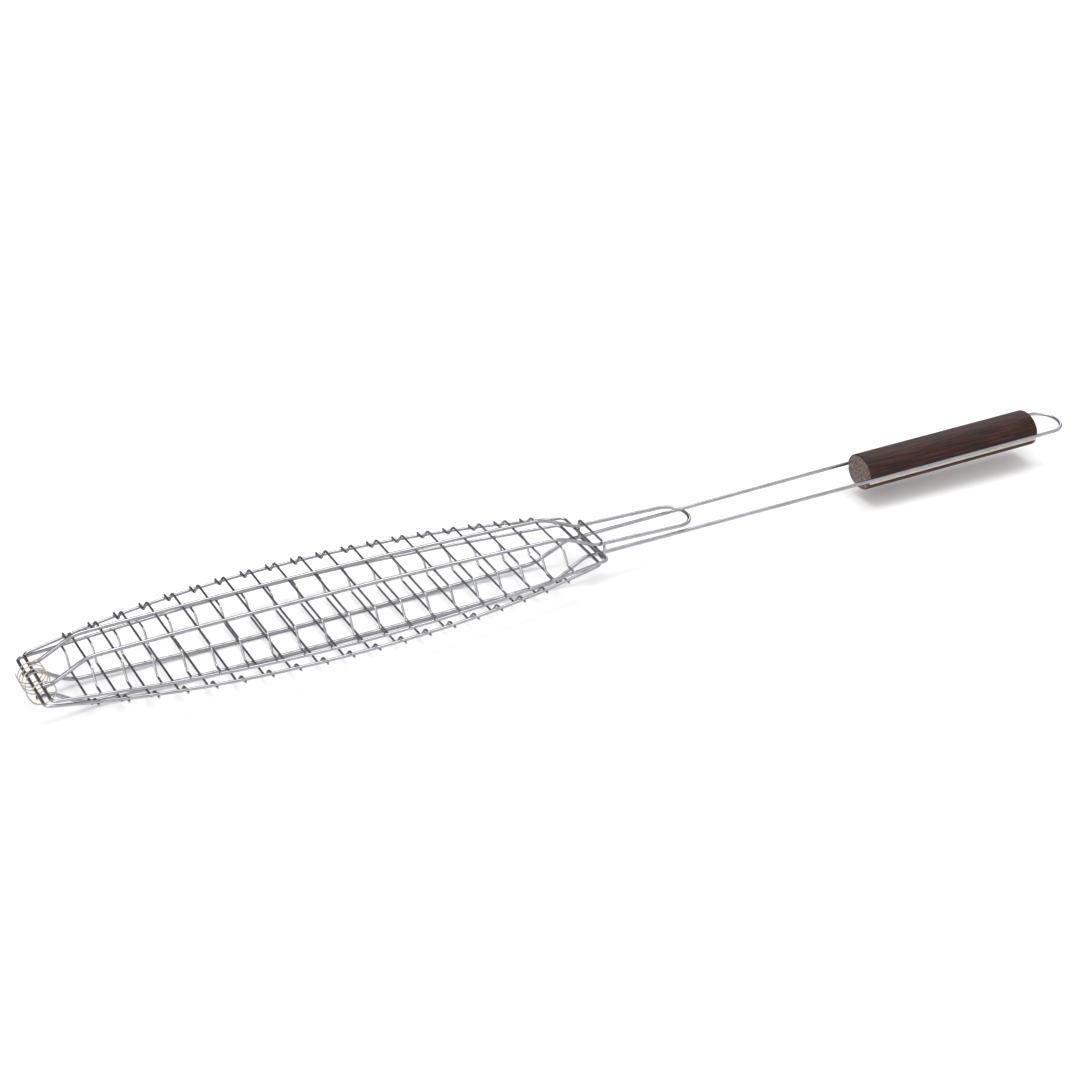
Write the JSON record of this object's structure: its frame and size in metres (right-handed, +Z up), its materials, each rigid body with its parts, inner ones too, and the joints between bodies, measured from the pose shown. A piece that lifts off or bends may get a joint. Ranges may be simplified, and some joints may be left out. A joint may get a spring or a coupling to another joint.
{
  "type": "fish grill basket",
  "caption": "Hinged wire grill basket for one fish: two bowed welded-wire halves, coil hinge at the nose, sliding latch ring, long two-wire handle with wooden grip and hanging loop.",
  "frame": {"origin": "middle of the overall length, on the surface that the closed basket lies on", "axes": "+X from the nose to the hanging loop, +Y across, +Z up through the two halves"},
  "size_m": [0.753, 0.105, 0.038],
  "materials": {
    "bright_frame_wire": "bright chrome plate on drawn steel wire",
    "bright_cross_wire": "bright chrome plate on thin drawn steel wire",
    "spring_wire": "bare spring steel, slightly straw coloured",
    "grip_wood": "dark stained hardwood with a satin lacquer"
  },
  "bodies": {
    "lower_half": {"handle_wire": "bright_frame_wire", "lower_rim": "bright_frame_wire", "grip": "grip_wood", "lower_cross_wire_01": "bright_cross_wire", "lower_cross_wire_02": "bright_cross_wire", "lower_cross_wire_03": "bright_cross_wire", "lower_cross_wire_04": "bright_cross_wire", "lower_cross_wire_05": "bright_cross_wire", "lower_cross_wire_06": "bright_cross_wire", "lower_cross_wire_07": "bright_cross_wire", "lower_cross_wire_08": "bright_cross_wire", "lower_cross_wire_09": "bright_cross_wire", "lower_cross_wire_10": "bright_cross_wire", "lower_cross_wire_11": "bright_cross_wire", "lower_cross_wire_12": "bright_cross_wire", "lower_cross_wire_13": "bright_cross_wire", "lower_cross_wire_14": "bright_cross_wire", "lower_cross_wire_15": "bright_cross_wire", "lower_cross_wire_16": "bright_cross_wire", "lower_cross_wire_17": "bright_cross_wire", "lower_cross_wire_18": "bright_cross_wire", "lower_cross_wire_19": "bright_cross_wire"},
    "coil": {"hinge_coil": "spring_wire"},
    "upper_half": {"upper_frame_wire": "bright_frame_wire", "upper_rim": "bright_frame_wire", "upper_cross_wire_01": "bright_cross_wire", "upper_cross_wire_02": "bright_cross_wire", "upper_cross_wire_03": "bright_cross_wire", "upper_cross_wire_04": "bright_cross_wire", "upper_cross_wire_05": "bright_cross_wire", "upper_cross_wire_06": "bright_cross_wire", "upper_cross_wire_07": "bright_cross_wire", "upper_cross_wire_08": "bright_cross_wire", "upper_cross_wire_09": "bright_cross_wire", "upper_cross_wire_10": "bright_cross_wire", "upper_cross_wire_11": "bright_cross_wire", "upper_cross_wire_12": "bright_cross_wire", "upper_cross_wire_13": "bright_cross_wire", "upper_cross_wire_14": "bright_cross_wire", "upper_cross_wire_15": "bright_cross_wire", "upper_cross_wire_16": "bright_cross_wire", "upper_cross_wire_17": "bright_cross_wire", "upper_cross_wire_18": "bright_cross_wire", "upper_cross_wire_19": "bright_cross_wire"},
    "ring": {"latch_ring": "bright_frame_wire"}
  },
  "joints": [
    {"name": "coil_swing", "type": "hinge", "parent": "lower_half", "child": "coil", "pos_m": [-0.37015, 0, 0.01805], "axis": [0, -1, 0], "range_deg": [0, 85]},
    {"name": "basket_open", "type": "hinge", "parent": "coil", "child": "upper_half", "pos_m": [-0.36605, 0, 0.02015], "axis": [0, -1, 0], "range_deg": [0, 85]},
    {"name": "ring_slide", "type": "slide", "parent": "lower_half", "child": "ring", "axis": [0.9998, 0, 0.0193], "range_m": [0, 0.2065]}
  ],
  "couplings": [
    {"joint": "coil_swing", "follows": "basket_open", "ratio": 1}
  ]
}
